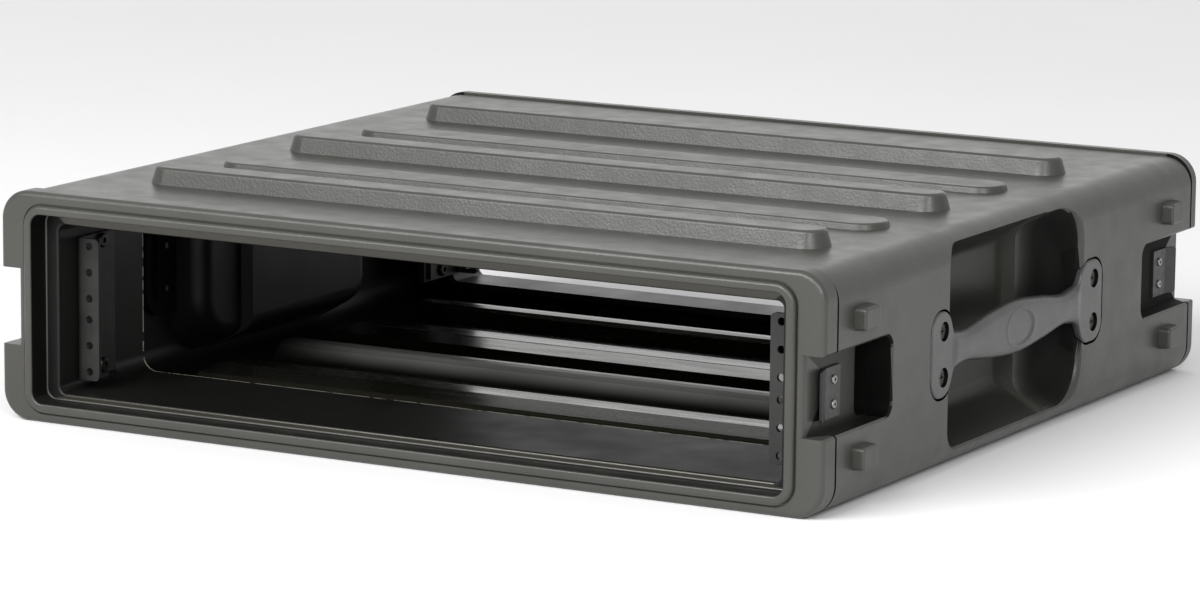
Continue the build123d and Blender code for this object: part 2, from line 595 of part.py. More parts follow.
def make_handle(core):
    """Moulded strap handle for the right side, with flush end plates and a plain oval badge."""
    upper = [(y, HANDLE_Z + h) for y, h in STRAP_OUTLINE]
    lower = [(y, HANDLE_Z - h) for y, h in reversed(STRAP_OUTLINE)]
    spots = [(y, z) for y in HANDLE_SCREW_Y for z in HANDLE_SCREW_Z]
    with BuildPart() as handle:
        with BuildSketch(Plane.YZ.offset(HALF_WIDTH - STRAP_BACK)):
            with BuildLine():
                Spline(*upper)
                Line(upper[-1], lower[0])
                Spline(*lower)
                Line(lower[-1], upper[0])
            make_face()
        extrude(amount=STRAP_BACK + STRAP_PROUD)
        long_edges = edges().filter_by(lambda e: e.length > STRAP_LONG_EDGE)
        fillet(long_edges, STRAP_EDGE_R)
        side_block(1, PLATE_BED_X, HALF_WIDTH, *FRONT_PLATE_Y, HANDLE_Z - PLATE_HEIGHT / 2,
                   HANDLE_Z + PLATE_HEIGHT / 2, PLATE_CORNER_R)
        side_block(1, PLATE_BED_X, HALF_WIDTH, *REAR_PLATE_Y, HANDLE_Z - PLATE_HEIGHT / 2,
                   HANDLE_Z + PLATE_HEIGHT / 2, PLATE_CORNER_R)
        with BuildSketch(Plane.YZ.offset(HALF_WIDTH + STRAP_PROUD)):
            with Locations((BADGE_Y, HANDLE_Z)):
                Ellipse(BADGE_SIZE[0] / 2, BADGE_SIZE[1] / 2)
        extrude(amount=-BADGE_DEPTH, mode=Mode.SUBTRACT)
        cross_holes(1, PLATE_BED_X - CLEAR, HALF_WIDTH + CLEAR, spots, HANDLE_SCREW_R + SCREW_GAP)
        cross_holes(1, HALF_WIDTH - WELL_DEPTH, HALF_WIDTH + CLEAR, spots, WELL_R)
        add(core, mode=Mode.SUBTRACT)
    return handle.part


def make_handle_screws(y):
    """Two screws through one end plate of the right handle."""
    spots = [(y, z) for z in HANDLE_SCREW_Z]
    seat = HALF_WIDTH - WELL_DEPTH
    tip = PLATE_BED_X - WALL - BACKING_THICK - SCREW_END
    with BuildPart() as screws:
        cross_holes(1, seat, seat + HANDLE_SCREW_HEAD, spots, HANDLE_SCREW_HEAD_R, Mode.ADD)
        cross_holes(1, tip, seat, spots, HANDLE_SCREW_R, Mode.ADD)
        with BuildSketch(Plane.YZ.offset(seat + HANDLE_SCREW_HEAD - CROSS_DEPTH)):
            with Locations(*spots):
                Rectangle(CROSS_LENGTH, CROSS_WIDTH)
                Rectangle(CROSS_WIDTH, CROSS_LENGTH)
        extrude(amount=CROSS_DEPTH + CLEAR, mode=Mode.SUBTRACT)
    return screws.part


def make_backing(y, y0, y1):
    """Steel backing plate inside the wall, tapped for one end plate's screws at y."""
    x_in = PLATE_BED_X - WALL - BACKING_THICK
    with BuildPart() as backing:
        with BuildSketch(Plane.YZ.offset(x_in)):
            with Locations(((y0 + y1) / 2, HANDLE_Z)):
                RectangleRounded(y1 - y0, BACKING_HEIGHT, BACKING_CORNER_R)
            with Locations(*[(y, z) for z in HANDLE_SCREW_Z]):
                Circle(HANDLE_SCREW_R + SCREW_GAP, mode=Mode.SUBTRACT)
        extrude(amount=BACKING_THICK)
    return backing.part


def write(part, name):
    part.label = name
    export_step(part, f"parts/{name}.step")


write(make_shell(), "shell")

for side_name, side in SIDES.items():
    for end_name, end in ENDS.items():
        place = f"{end_name}_{side_name}"
        face_y = RAIL_FACE_Y[end_name]
        spots = rail_screw_spots(end, face_y)
        write(make_rail(side, end, face_y), f"rail_{place}")
        write(make_rail_screws(side, spots), f"rail_screws_{place}")
        write(make_rail_nuts(side, spots), f"rail_nuts_{place}")
        write(make_keeper(side, end), f"latch_keeper_{place}")
        write(make_keeper_rivets(side, end), f"keeper_rivets_{place}")

core = make_core()
handle = make_handle(core)
for side_name, turn in (("right", 0), ("left", 180)):
    write(core.rotate(Axis.Z, turn), f"handle_core_{side_name}")
    write(handle.rotate(Axis.Z, turn), f"handle_{side_name}")
    end_names = ("front", "rear") if turn == 0 else ("rear", "front")
    for end_name, y, backing_y in zip(end_names, HANDLE_SCREW_Y, (FRONT_BACKING_Y, REAR_BACKING_Y)):
        write(make_handle_screws(y).rotate(Axis.Z, turn), f"handle_screws_{end_name}_{side_name}")
        write(make_backing(y, *backing_y).rotate(Axis.Z, turn), f"handle_backing_{end_name}_{side_name}")
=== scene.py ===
import json
import math

import bmesh
import bpy
from mathutils import Matrix, Vector


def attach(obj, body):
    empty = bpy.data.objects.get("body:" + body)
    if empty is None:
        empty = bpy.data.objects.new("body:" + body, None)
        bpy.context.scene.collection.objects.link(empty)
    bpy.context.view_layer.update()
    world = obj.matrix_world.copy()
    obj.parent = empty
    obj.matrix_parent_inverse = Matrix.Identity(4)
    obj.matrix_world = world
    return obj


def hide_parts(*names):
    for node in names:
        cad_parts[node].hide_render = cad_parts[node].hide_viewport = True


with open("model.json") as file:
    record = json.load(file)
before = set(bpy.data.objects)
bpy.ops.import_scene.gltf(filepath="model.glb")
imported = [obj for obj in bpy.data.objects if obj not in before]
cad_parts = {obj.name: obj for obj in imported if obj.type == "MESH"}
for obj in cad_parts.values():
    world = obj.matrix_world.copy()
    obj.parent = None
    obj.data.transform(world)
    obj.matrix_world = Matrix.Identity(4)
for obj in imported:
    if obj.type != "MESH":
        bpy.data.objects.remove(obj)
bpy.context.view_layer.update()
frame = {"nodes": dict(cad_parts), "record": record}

# ---- Camera: the view's angles and place, degrees and metres
CAMERA_PLACE = (1.53115, -2.75990, 0.62430)
CAMERA_YAW = 29.19
CAMERA_PITCH = 10.224
CAMERA_ROLL = 0.538
CAMERA_LENS = 156.5
CAMERA_SENSOR = 36.0


def make_camera():
    yaw, pitch, roll = (math.radians(a) for a in (CAMERA_YAW, CAMERA_PITCH, CAMERA_ROLL))
    ahead = Vector((-math.sin(yaw) * math.cos(pitch), math.cos(yaw) * math.cos(pitch), -math.sin(pitch)))
    level = Vector((math.cos(yaw), math.sin(yaw), 0.0))
    upward = level.cross(ahead)
    right = level * math.cos(roll) + upward * math.sin(roll)
    up = upward * math.cos(roll) - level * math.sin(roll)
    data = bpy.data.cameras.new("camera")
    data.lens = CAMERA_LENS
    data.sensor_width = CAMERA_SENSOR
    data.sensor_fit = "HORIZONTAL"
    data.clip_start = 0.1
    data.clip_end = 100.0
    camera = bpy.data.objects.new("camera", data)
    turn = Matrix((right, up, -ahead)).transposed()
    camera.matrix_world = Matrix.Translation(CAMERA_PLACE) @ turn.to_4x4()
    bpy.context.scene.collection.objects.link(camera)
    bpy.context.scene.camera = camera


# ---- Places on the shell, in metres. X is measured from the middle to either side. "Along" is Y on the right
# side and -Y on the left one, since the left side is the right one turned half a turn.
# outer wall and the top's sag
FLAT_SIDE_X = 0.2749
OUTER_WALL_X = 0.2715
SAG_HALF_WIDTH = 0.275
SAG_FROM_Z = 0.11
SAG_FULL_OVER = 0.028
TOP_SAG = 0.0021

# both ends, and the rounded edges along the case
RIM_Y = 0.2464
GROOVES_Y = (-0.2439, 0.24915)
GROOVE_HALF = 0.00097
MOUTH_HALF = 0.2522
MOUTH_Y = (0.2468, 0.2600)
MOUTH_Z = (0.0113, 0.1268)
CORNER_X = 0.257
CORNER_Z = (0.018, 0.1196)
CORNER_MIDDLE_R = 0.0160  # half way through the wall of a rounded corner
UNDERSIDE_Z = 0.0115
TOP_Z = 0.1355

# inside: sleeves, floor humps and the handle pockets' bulges
SLEEVE_HALF = 0.2427
SLEEVE_Z = (0.0160, 0.1186)
FRONT_SLEEVE_END = -0.1583
REAR_SLEEVE_START = 0.2118
# half width of the painted highlight along the front sleeve's trimmed edge
TRIMMED_EDGE_HALF = 0.0012
BULGE_X = 0.2
SCORED_LINE_Y = 0.0655  # a fine line along the crest of the low floor hump
SCORED_LINE_HALF = 0.0007
HUMP_Y = (-0.0357, 0.0017)
HUMP_Z = (0.0046, 0.0155)
HUMP_HALF = 0.24
HUMP_CREST_Y = sum(HUMP_Y) / 2
HUMP_CREST_FADE = (0.007, 0.0185)  # distances from the crest where its painted reflection starts to fade and ends
HUMP_END_FADE = (0.15, 0.235)

# handle pockets, the beds of the handles' end plates as they show outside, and latch recesses
HANDLE_Z = 0.0697
POCKET_X = (0.2448, 0.27199)
POCKET_ALONG = (-0.127, 0.1155)
# the pocket's painted light: a highlight on the step, a paler gradient in front of it and shade behind it
POCKET_STEP_ALONG = 0.0345
POCKET_STEP_FADE = 0.009
POCKET_FRONT_FADE = (-0.09, 0.03)
POCKET_REAR_FADE = (0.034, 0.062)
BEDS_ALONG = ((-0.1263, -0.0965), (0.0799, 0.1147))
BED_X = 0.2655
BED_HALF = 0.0267
BED_WALL = 0.0045  # how much further the wall reaches behind a bed
RECESS_X = 0.2525
RECESS_Y = 0.1745
RECESS_Z = (0.0455, 0.0925)
RECESS_BACK_X = 0.2735
DEEP_RECESS_X = 0.2622
DEEP_RECESS_Y = 0.1995


# ---- Materials
class Nodes:
    """Short way to write a material's node tree."""

    def __init__(self, name, specular=0.5):
        self.material = bpy.data.materials.new(name)
        self.material.use_nodes = True
        self.tree = self.material.node_tree
        self.shader = self.tree.nodes["Principled BSDF"]
        self.shader.inputs["Specular IOR Level"].default_value = specular
        self.place = self.add("ShaderNodeTexCoord").outputs["Object"]

    def add(self, kind, inputs=None, **settings):
        """A node; each input is a number, a tuple or a socket to link."""
        node = self.tree.nodes.new(kind)
        for key, value in settings.items():
            setattr(node, key, value)
        for key, value in (inputs or {}).items():
            if isinstance(value, bpy.types.NodeSocket):
                self.tree.links.new(value, node.inputs[key])
            else:
                node.inputs[key].default_value = value
        return node

    def finish(self, colour, roughness=None, normal=None):
        """Link the shader's sockets; gives the material."""
        for name, value in (("Base Color", colour), ("Roughness", roughness), ("Normal", normal)):
            if value is not None:
                self.tree.links.new(value, self.shader.inputs[name])
        return self.material

    def axis(self, name):
        return self.add("ShaderNodeSeparateXYZ", {"Vector": self.place}).outputs[name]

    def noise(self, scale, detail=2.0, rough=0.5, vector=None):
        inputs = {"Vector": vector or self.place, "Scale": scale, "Detail": detail, "Roughness": rough}
        return self.add("ShaderNodeTexNoise", inputs).outputs["Fac"]

    def cells(self, scale):
        inputs = {"Vector": self.place, "Scale": scale, "Smoothness": 0.6}
        return self.add("ShaderNodeTexVoronoi", inputs, feature="SMOOTH_F1").outputs["Distance"]

    def span(self, value, low, high, to_low, to_high, smooth=False):
        """One range mapped to another."""
        inputs = {"Value": value, "From Min": low, "From Max": high, "To Min": to_low, "To Max": to_high}
        kind = "SMOOTHSTEP" if smooth else "LINEAR"
        return self.add("ShaderNodeMapRange", inputs, interpolation_type=kind).outputs["Result"]

    def patches(self, scale, low=0.0, high=1.0):
        """Soft patches, for a colour."""
        return self.span(self.noise(scale, 3.0), 0.35, 0.65, low, high)

    def drift(self, scale, low, high):
        """A slow change, for the roughness."""
        return self.span(self.noise(scale), 0.3, 0.7, low, high)

    def mix(self, factor, a, b):
        """One colour into another; each is three numbers or a socket."""
        colours = {key: value if isinstance(value, bpy.types.NodeSocket) else (*value, 1.0)
                   for key, value in (("A", a), ("B", b))}
        return self.add("ShaderNodeMix", {"Factor": factor, **colours}, data_type="RGBA").outputs["Result"]

    def math(self, operation, a, b=0.0):
        node = self.add("ShaderNodeMath", operation=operation)
        for socket, value in zip(node.inputs, (a, b)):
            if isinstance(value, bpy.types.NodeSocket):
                self.tree.links.new(value, socket)
            else:
                socket.default_value = value
        return node.outputs["Value"]

    def off(self, value, centre):
        """Distance of a value from a centre."""
        return self.math("ABSOLUTE", self.math("SUBTRACT", value, centre))

    def bump(self, height, strength, distance, under=None):
        inputs = {"Height": height, "Strength": strength, "Distance": distance}
        if under:
            inputs["Normal"] = under
        return self.add("ShaderNodeBump", inputs).outputs["Normal"]


def shell_plastic():
    """Pebble-textured dark moulding, a little darker and smoother where it varies."""
    n = Nodes("shell_plastic")
    colour = n.mix(n.patches(14.0), (0.036, 0.0355, 0.0315), (0.043, 0.0425, 0.038))
    wave = n.bump(n.noise(16.0), 0.25, 0.0010)
    grain = n.math("ADD", n.cells(620.0), n.math("MULTIPLY", n.noise(1500.0), 0.5))
    return n.finish(colour, n.drift(60.0, 0.32, 0.40), n.bump(grain, 0.22, 0.0003, wave))


def smooth_plastic(name, low, high, rough, wave, specular=0.5):
    """The moulding where it took no texture: two colours, a range of roughness and a shallow wave."""
    n = Nodes(name, specular)
    colour = n.mix(n.patches(20.0), low, high)
    return n.finish(colour, n.drift(30.0, *rough), n.bump(n.noise(24.0), wave, 0.0006))


def hold_plastic():
    """The glossy, untextured inner side, drawn out in faint streaks across the case, with one scored line."""
    n = Nodes("hold_plastic")
    n.shader.inputs["Specular Tint"].default_value = (1.0, 0.97, 0.89, 1.0)
    n.shader.inputs["IOR"].default_value = 1.6
    colour = n.mix(n.noise(20.0, 3.0), (0.008, 0.0078, 0.0055), (0.015, 0.0146, 0.0110))
    streaks = n.add("ShaderNodeMapping", {"Vector": n.place, "Scale": (0.12, 1.0, 1.0)}).outputs["Vector"]
    line = n.math("LESS_THAN", n.off(n.axis("Y"), SCORED_LINE_Y), SCORED_LINE_HALF)
    gloss = n.span(n.noise(160.0, 3.0, 0.6, streaks), 0.3, 0.7, 0.18, 0.30)
    rough = n.math("MAXIMUM", gloss, n.math("MULTIPLY", line, 0.9))
    return n.finish(colour, rough, n.bump(n.noise(60.0, vector=streaks), 0.12, 0.0005))


def hump_plastic():
    """The middle floor hump, with a painted reflection pale along its crest, fading towards its edges and
    ends.
    """
    n = Nodes("hump_plastic")
    crest = n.span(n.off(n.axis("Y"), HUMP_CREST_Y), *HUMP_CREST_FADE, 1.0, 0.0, smooth=True)
    middle = n.span(n.math("ABSOLUTE", n.axis("X")), *HUMP_END_FADE, 1.0, 0.0, smooth=True)
    pale = n.math("MULTIPLY", n.math("MULTIPLY", crest, middle), n.patches(20.0, 0.8, 1.0))
    colour = n.mix(pale, (0.006, 0.006, 0.0055), (0.44, 0.44, 0.42))
    return n.finish(colour, n.drift(30.0, 0.28, 0.36), n.bump(n.noise(24.0), 0.2, 0.0006))


def sleeve_plastic():
    """Dark, satin moulding inside the sleeves, with a painted highlight, broken up by noise, along the
    trimmed edge where the front one ends.
    """
    n = Nodes("sleeve_plastic", 0.3)
    # painted highlight along the trimmed edge, broken up by noise
    edge = n.math("LESS_THAN", n.off(n.axis("Y"), FRONT_SLEEVE_END), TRIMMED_EDGE_HALF)
    broken_glint = n.math("GREATER_THAN", n.noise(180.0, 3.0), 0.44)
    colour = n.mix(n.math("MULTIPLY", edge, broken_glint), (0.0065, 0.0065, 0.006), (0.34, 0.32, 0.27))
    return n.finish(colour, n.drift(30.0, 0.36, 0.46), n.bump(n.noise(24.0), 0.2, 0.0006))


def pocket_plastic():
    """Smooth moulding in the handle pockets and latch recesses, with painted light: a painted gradient
    growing paler towards the step in the pocket's back, a painted highlight on the step, and painted shade,
    dark and dull, behind it."""
    n = Nodes("pocket_plastic", 0.22)
    along = n.math("MULTIPLY", n.axis("Y"), n.math("SIGN", n.axis("X")))
    front = n.mix(n.span(along, *POCKET_FRONT_FADE, 0.0, 1.0), (0.011, 0.011, 0.009), (0.026, 0.026, 0.0225))
    # painted shade behind the step, towards the pocket's rear wall
    rear = n.span(along, *POCKET_REAR_FADE, 0.0, 1.0, smooth=True)
    tone = n.math("ADD", n.math("MULTIPLY", n.noise(20.0, 3.0), 0.15), n.math("MULTIPLY", rear, 0.85))
    # painted highlight on the step
    step = n.span(n.off(along, POCKET_STEP_ALONG), 0.0, POCKET_STEP_FADE, 1.0, 0.0, smooth=True)
    colour = n.mix(step, n.mix(tone, front, (0.0012, 0.0012, 0.0010)), (0.048, 0.048, 0.042))
    return n.finish(colour, n.span(rear, 0.0, 1.0, 0.36, 0.80), n.bump(n.noise(24.0), 0.3, 0.0006))


def paint(name, low, high, rough, grain):
    """A coating or a soft moulding: two colours, a range of roughness and a fine grain."""
    n = Nodes(name)
    colour = n.mix(n.patches(90.0), low, high)
    return n.finish(colour, n.drift(200.0, *rough), n.bump(n.noise(1800.0), grain, 0.0002))


def metal(name, low, high, rough):
    """Bare or blackened metal, in the same terms."""
    n = Nodes(name)
    n.shader.inputs["Metallic"].default_value = 1.0
    colour = n.mix(n.patches(300.0), low, high)
    return n.finish(colour, n.drift(700.0, *rough), n.bump(n.noise(2200.0), 0.1, 0.0001))


MATERIALS = {
    "shell_plastic": shell_plastic(),
    "sleeve_plastic": sleeve_plastic(),
    "hold_plastic": hold_plastic(),
    "hump_plastic": hump_plastic(),
    # painted shade: the hold's side walls by the pockets get a darker, duller copy of the hold's moulding
    "bulge_shaded_plastic": smooth_plastic(
        "bulge_shaded_plastic", (0.003, 0.003, 0.003), (0.006, 0.006, 0.0055), (0.42, 0.50), 0.2, 0.3),
    "pocket_plastic": pocket_plastic(),
    "shade_plastic": smooth_plastic(
        "shade_plastic", (0.002, 0.002, 0.0018), (0.004, 0.004, 0.0035), (0.60, 0.70), 0.2, 0.12),
    # painted highlight for the front sleeve's trimmed end faces: a pale grey standing in for light caught on
    # the edge
    "cut_edge_highlight": smooth_plastic(
        "cut_edge_highlight", (0.10, 0.10, 0.085), (0.16, 0.155, 0.14), (0.35, 0.45), 0.2),
    "rail_steel": paint(
        "rail_steel", (0.010, 0.010, 0.0095), (0.015, 0.015, 0.014), (0.36, 0.46), 0.2),
    "screw_steel": metal(
        "screw_steel", (0.045, 0.045, 0.043), (0.075, 0.075, 0.07), (0.30, 0.42)),
    "keeper_steel": paint(
        "keeper_steel", (0.016, 0.016, 0.016), (0.026, 0.026, 0.025), (0.35, 0.48), 0.15),
    "rivet_steel": metal(
        "rivet_steel", (0.24, 0.24, 0.23), (0.36, 0.36, 0.34), (0.25, 0.38)),
    "handle_rubber": paint(
        "handle_rubber", (0.049, 0.050, 0.048), (0.059, 0.060, 0.058), (0.27, 0.34), 0.06),
    # painted shade: the handles' backing plates are near-black and dull so they sink into the dark inside the
    # case
    "backing_shade_black": smooth_plastic(
        "backing_shade_black", (0.002, 0.002, 0.002), (0.003, 0.003, 0.003), (0.70, 0.80), 0.1, 0.1),
    "core_steel": metal(
        "core_steel", (0.30, 0.30, 0.30), (0.42, 0.42, 0.40), (0.35, 0.45)),
}


def dress(obj, *names):
    obj.data.materials.clear()
    for name in names:
        obj.data.materials.append(MATERIALS[name])


def dress_cad_nodes():
    for entry in frame["record"]["subparts"]:
        # the handles' backing plates take the painted shade instead of their slot's steel
        hidden = entry["node"].startswith("handle_backing")
        dress(frame["nodes"][entry["node"]], "backing_shade_black" if hidden else entry["material_slot"])


# ---- Shell: the moulding's own surface, sagging a little, with a finish for each region
SHELL_FINISHES = ("shell_plastic", "sleeve_plastic", "hold_plastic", "pocket_plastic", "cut_edge_highlight",
                  "hump_plastic", "shade_plastic", "bulge_shaded_plastic")
EXTERIOR, SLEEVE, HOLD, POCKET, CUT_HIGHLIGHT, HUMP, SHADE, BULGE = range(8)
FACING_OUT = 0.04  # a side wall's normal points outwards by more than this
LEAN = 0.05  # an upright face's normal points up or down by less than this
EDGE_MARGIN = 0.001


def within(value, limits):
    return limits[0] <= value <= limits[1]


def end_finish(x, y, z, facing):
    """The finish of the grooves, mouths, rims and sleeves at both ends, or None further in."""
    if x < FLAT_SIDE_X and any(abs(y - groove) < GROOVE_HALF for groove in GROOVES_Y):
        return SHADE if x > CORNER_X or z < CORNER_Z[0] else EXTERIOR
    if within(abs(y), MOUTH_Y) and x < MOUTH_HALF and within(z, MOUTH_Z):
        return SLEEVE if facing.z > 0.5 else SHADE
    if abs(y) > RIM_Y:
        return EXTERIOR
    if x <= SLEEVE_HALF and within(z, SLEEVE_Z) and not FRONT_SLEEVE_END < y < REAR_SLEEVE_START:
        return SLEEVE
    # the front sleeve's trimmed end faces get the painted highlight
    return CUT_HIGHLIGHT if abs(y - FRONT_SLEEVE_END) < EDGE_MARGIN and abs(facing.y) > 0.9 else None


def side_finish(x, end, z, along, outward):
    """The finish of a handle's beds and pocket and of the latch recesses, or None elsewhere."""
    wall = BED_WALL if outward < FACING_OUT else 0.0
    at_bed = any(start - wall < along < end + wall for start, end in BEDS_ALONG)
    if at_bed and BED_X < x < FLAT_SIDE_X and abs(z - HANDLE_Z) < BED_HALF + wall:
        return SHADE
    if within(x, POCKET_X) and outward > FACING_OUT and within(along, POCKET_ALONG):
        return POCKET
    if RECESS_X < x < FLAT_SIDE_X and end > RECESS_Y and within(z, RECESS_Z) and outward > -LEAN:
        if x < DEEP_RECESS_X or end < DEEP_RECESS_Y:
            return SHADE
        return POCKET if x < RECESS_BACK_X else EXTERIOR
    return None


def shell_finish(spot, facing):
    """Which finish a face of the shell has, from its centre and normal."""
    side = 1.0 if spot.x > 0 else -1.0
    x, y, z = abs(spot.x), spot.y, spot.z
    finish = end_finish(x, y, z, facing)
    if finish is not None:
        return finish
    rise = max(CORNER_Z[0] - z, z - CORNER_Z[1])
    if x > CORNER_X and rise > 0 and math.hypot(x - CORNER_X, rise) > CORNER_MIDDLE_R:
        return EXTERIOR
    finish = side_finish(x, abs(y), z, y * side, facing.x * side)
    if finish is not None:
        return finish
    if x > OUTER_WALL_X or (z < UNDERSIDE_Z and facing.z < LEAN) or (z > TOP_Z and facing.z > -LEAN):
        return EXTERIOR
    if within(y, HUMP_Y) and within(z, HUMP_Z) and facing.z > LEAN and x < HUMP_HALF:
        return HUMP
    return BULGE if x > BULGE_X and y < REAR_SLEEVE_START else HOLD


def make_shell_skin():
    source = frame["nodes"]["shell"]
    mesh = source.data.copy()
    mesh.name = "shell_skin"
    skin = bpy.data.objects.new("shell_skin", mesh)
    bpy.context.scene.collection.objects.link(skin)
    for vertex in mesh.vertices:
        height = (vertex.co.z - SAG_FROM_Z) / SAG_FULL_OVER
        if height > 0:
            across = max(0.0, 1.0 - (vertex.co.x / SAG_HALF_WIDTH) ** 2)
            vertex.co.z -= TOP_SAG * across * min(height, 1.0)
    dress(skin, *SHELL_FINISHES)
    for face in mesh.polygons:
        face.material_index = shell_finish(face.center, face.normal)
    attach(skin, "root")
    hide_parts("shell")


# ---- Handles: one soft moulding each, with screw wells in flat end plates and a plain oval in the strap
PLATES_Y = ((-0.1249, -0.0973), (0.0807, 0.1133))
PLATE_HALF = 0.02535
PLATE_CORNER = 0.0126
PLATE_BACK = 0.2711
PLATE_FRONT = 0.2754
PLATE_EDGE_R = 0.0014
STRAP_BACK = 0.2672
STRAP_FRONT = 0.2766
STRAP_EDGE_R = 0.0042
STRAP_CROWN = 0.0014
STRAP_ENDS = (-0.0913, 0.0748)  # from here the strap thins into the plates
THINNING = 0.0072
ROUNDING_SHARE = 0.96  # most of the half thickness that a rounded edge takes up
# strap half height along Y
STRAP = ((-0.0973, 0.0119), (-0.076, 0.0096), (-0.041, 0.0136), (-0.005, 0.0161),
         (0.030, 0.0132), (0.061, 0.0095), (0.0807, 0.0119))
BLUR_STEP = 0.0008
BLUR_WEIGHTS = (1.0, 0.85, 0.55, 0.25, 0.1)
BADGE_Y = -0.006
BADGE_HALF = (0.018, 0.0105)
BADGE_DEPTH = 0.0008
BADGE_SLOPE = 0.10  # width of its wall, rim place and rim width, as shares of the oval
BADGE_RIM_AT = 1.08
BADGE_RIM_WIDTH = 0.06
BADGE_RIM = 0.0003
WELLS_Y = (-0.1085, 0.101)
WELL_RISE = 0.0134
WELL_R = 0.0058
WELL_FLOOR = 0.2726
WELL_CUTTER = 0.01
WELL_SIDES = 48
WELL_MARGIN = 0.0001
WELL_BRIM = 0.0006
SHARP_ANGLE = 40
# points along a section: front, corner, top or bottom, back
FRONT_POINTS, CORNER_POINTS, EDGE_POINTS, BACK_POINTS = 44, 6, 4, 12
# sections along Y: round each end, on from there, then evenly
END_SECTIONS = 8
NEXT_SECTIONS = (0.0019, 0.0026, 0.0034, 0.0044)
EVEN_FROM = 0.0054
EVEN_STEP = 0.0009


def smooth_step(value):
    t = min(max(value, 0.0), 1.0)
    return t * t * (3.0 - 2.0 * t)


def strap_half(y):
    """Half height of the strap: a smooth curve through the points of STRAP."""
    if y <= STRAP[0][0]:
        return STRAP[0][1]
    for i in range(len(STRAP) - 1):
        (y0, h0), (y1, h1) = STRAP[i], STRAP[i + 1]
        if y <= y1:
            before = STRAP[max(i - 1, 0)]
            after = STRAP[min(i + 2, len(STRAP) - 1)]
            m0 = (h1 - before[1]) / (y1 - before[0]) * (y1 - y0)
            m1 = (after[1] - h0) / (after[0] - y0) * (y1 - y0)
            t = (y - y0) / (y1 - y0)
            return ((2 * t ** 3 - 3 * t ** 2 + 1) * h0 + (t ** 3 - 2 * t ** 2 + t) * m0
                    + (3 * t ** 2 - 2 * t ** 3) * h1 + (t ** 3 - t ** 2) * m1)
    return STRAP[-1][1]


def plain_half(y):
    """Half height of the whole handle at y, with sharp joins between the strap and the end plates."""
    half = strap_half(y)
    r = PLATE_CORNER
    for y0, y1 in PLATES_Y:
        near = min(y - y0, y1 - y)
        if near >= r:
            half = PLATE_HALF
        elif near >= 0:
            half = max(half, PLATE_HALF - r + math.sqrt(max(r * r - (r - near) ** 2, 0.0)))
    return half


def handle_half(y):
    """The same with blended joins; the handle's two ends stay as they are."""
    if min(y - PLATES_Y[0][0], PLATES_Y[1][1] - y) < PLATE_CORNER:
        return plain_half(y)
    total = BLUR_WEIGHTS[0] * plain_half(y)
    weight = BLUR_WEIGHTS[0]
    for i, share in enumerate(BLUR_WEIGHTS[1:], 1):
        total += share * (plain_half(y - i * BLUR_STEP) + plain_half(y + i * BLUR_STEP))
        weight += 2 * share
    return total / weight


def badge_offset(y, rise):
    """How far the strap's front is pushed in or out round the oval."""
    ring = math.hypot((y - BADGE_Y) / BADGE_HALF[0], rise / BADGE_HALF[1])
    rim = BADGE_RIM * math.exp(-((ring - BADGE_RIM_AT) / BADGE_RIM_WIDTH) ** 2)
    return rim - BADGE_DEPTH * smooth_step((1.0 - ring) / BADGE_SLOPE)


def handle_ring(y, shrink):
    """Points of the right handle's section at y, pulled in by shrink."""
    share = max(smooth_step((STRAP_ENDS[0] - y) / THINNING), smooth_step((y - STRAP_ENDS[1]) / THINNING))
    half = handle_half(y) - shrink
    back = STRAP_BACK + (PLATE_BACK - STRAP_BACK) * share + shrink
    front = STRAP_FRONT + (PLATE_FRONT - STRAP_FRONT) * share - shrink
    middle = (back + front) / 2
    depth = (front - back) / 2
    r = min(STRAP_EDGE_R + (PLATE_EDGE_R - STRAP_EDGE_R) * share, depth * ROUNDING_SHARE)
    flat_x, flat_z = depth - r, half - r
    corners = ((flat_x, flat_z), (-flat_x, flat_z), (-flat_x, -flat_z), (flat_x, -flat_z))
    runs = ((FRONT_POINTS, (depth, -flat_z), (depth, flat_z)),
            (EDGE_POINTS, (flat_x, half), (-flat_x, half)),
            (BACK_POINTS, (-depth, flat_z), (-depth, -flat_z)),
            (EDGE_POINTS, (-flat_x, -half), (flat_x, -half)))
    outline = []
    for quarter, ((count, start, end), centre) in enumerate(zip(runs, corners)):
        for i in range(count):
            t = i / count
            outline.append((start[0] + (end[0] - start[0]) * t, start[1] + (end[1] - start[1]) * t))
        for i in range(CORNER_POINTS):
            angle = (quarter + i / CORNER_POINTS) * math.pi / 2
            outline.append((centre[0] + r * math.cos(angle), centre[1] + r * math.sin(angle)))
    points = []
    for x, z in outline:
        if x > flat_x:
            x += badge_offset(y, z)
        if x > 0:
            x -= STRAP_CROWN * (1 - share) * (z / half) ** 2
        points.append(Vector((middle + x, y, HANDLE_Z + z)))
    return points


def handle_stations():
    """(Y, shrink) along the handle: even steps, finer where an end is rounded."""
    first, last = PLATES_Y[0][0], PLATES_Y[1][1]
    swings = [math.pi / 2 * i / END_SECTIONS for i in range(END_SECTIONS + 1)]
    spots = [(PLATE_EDGE_R * (1 - math.cos(a)), PLATE_EDGE_R * (1 - math.sin(a))) for a in swings]
    spots += [(inset, 0.0) for inset in NEXT_SECTIONS]
    count = int((last - first - 2 * EVEN_FROM) / EVEN_STEP) + 1
    middle = [(first + EVEN_FROM + EVEN_STEP * i, 0.0) for i in range(count)]
    return [(first + inset, shrink) for inset, shrink in spots] + middle + [
        (last - inset, shrink) for inset, shrink in reversed(spots)]


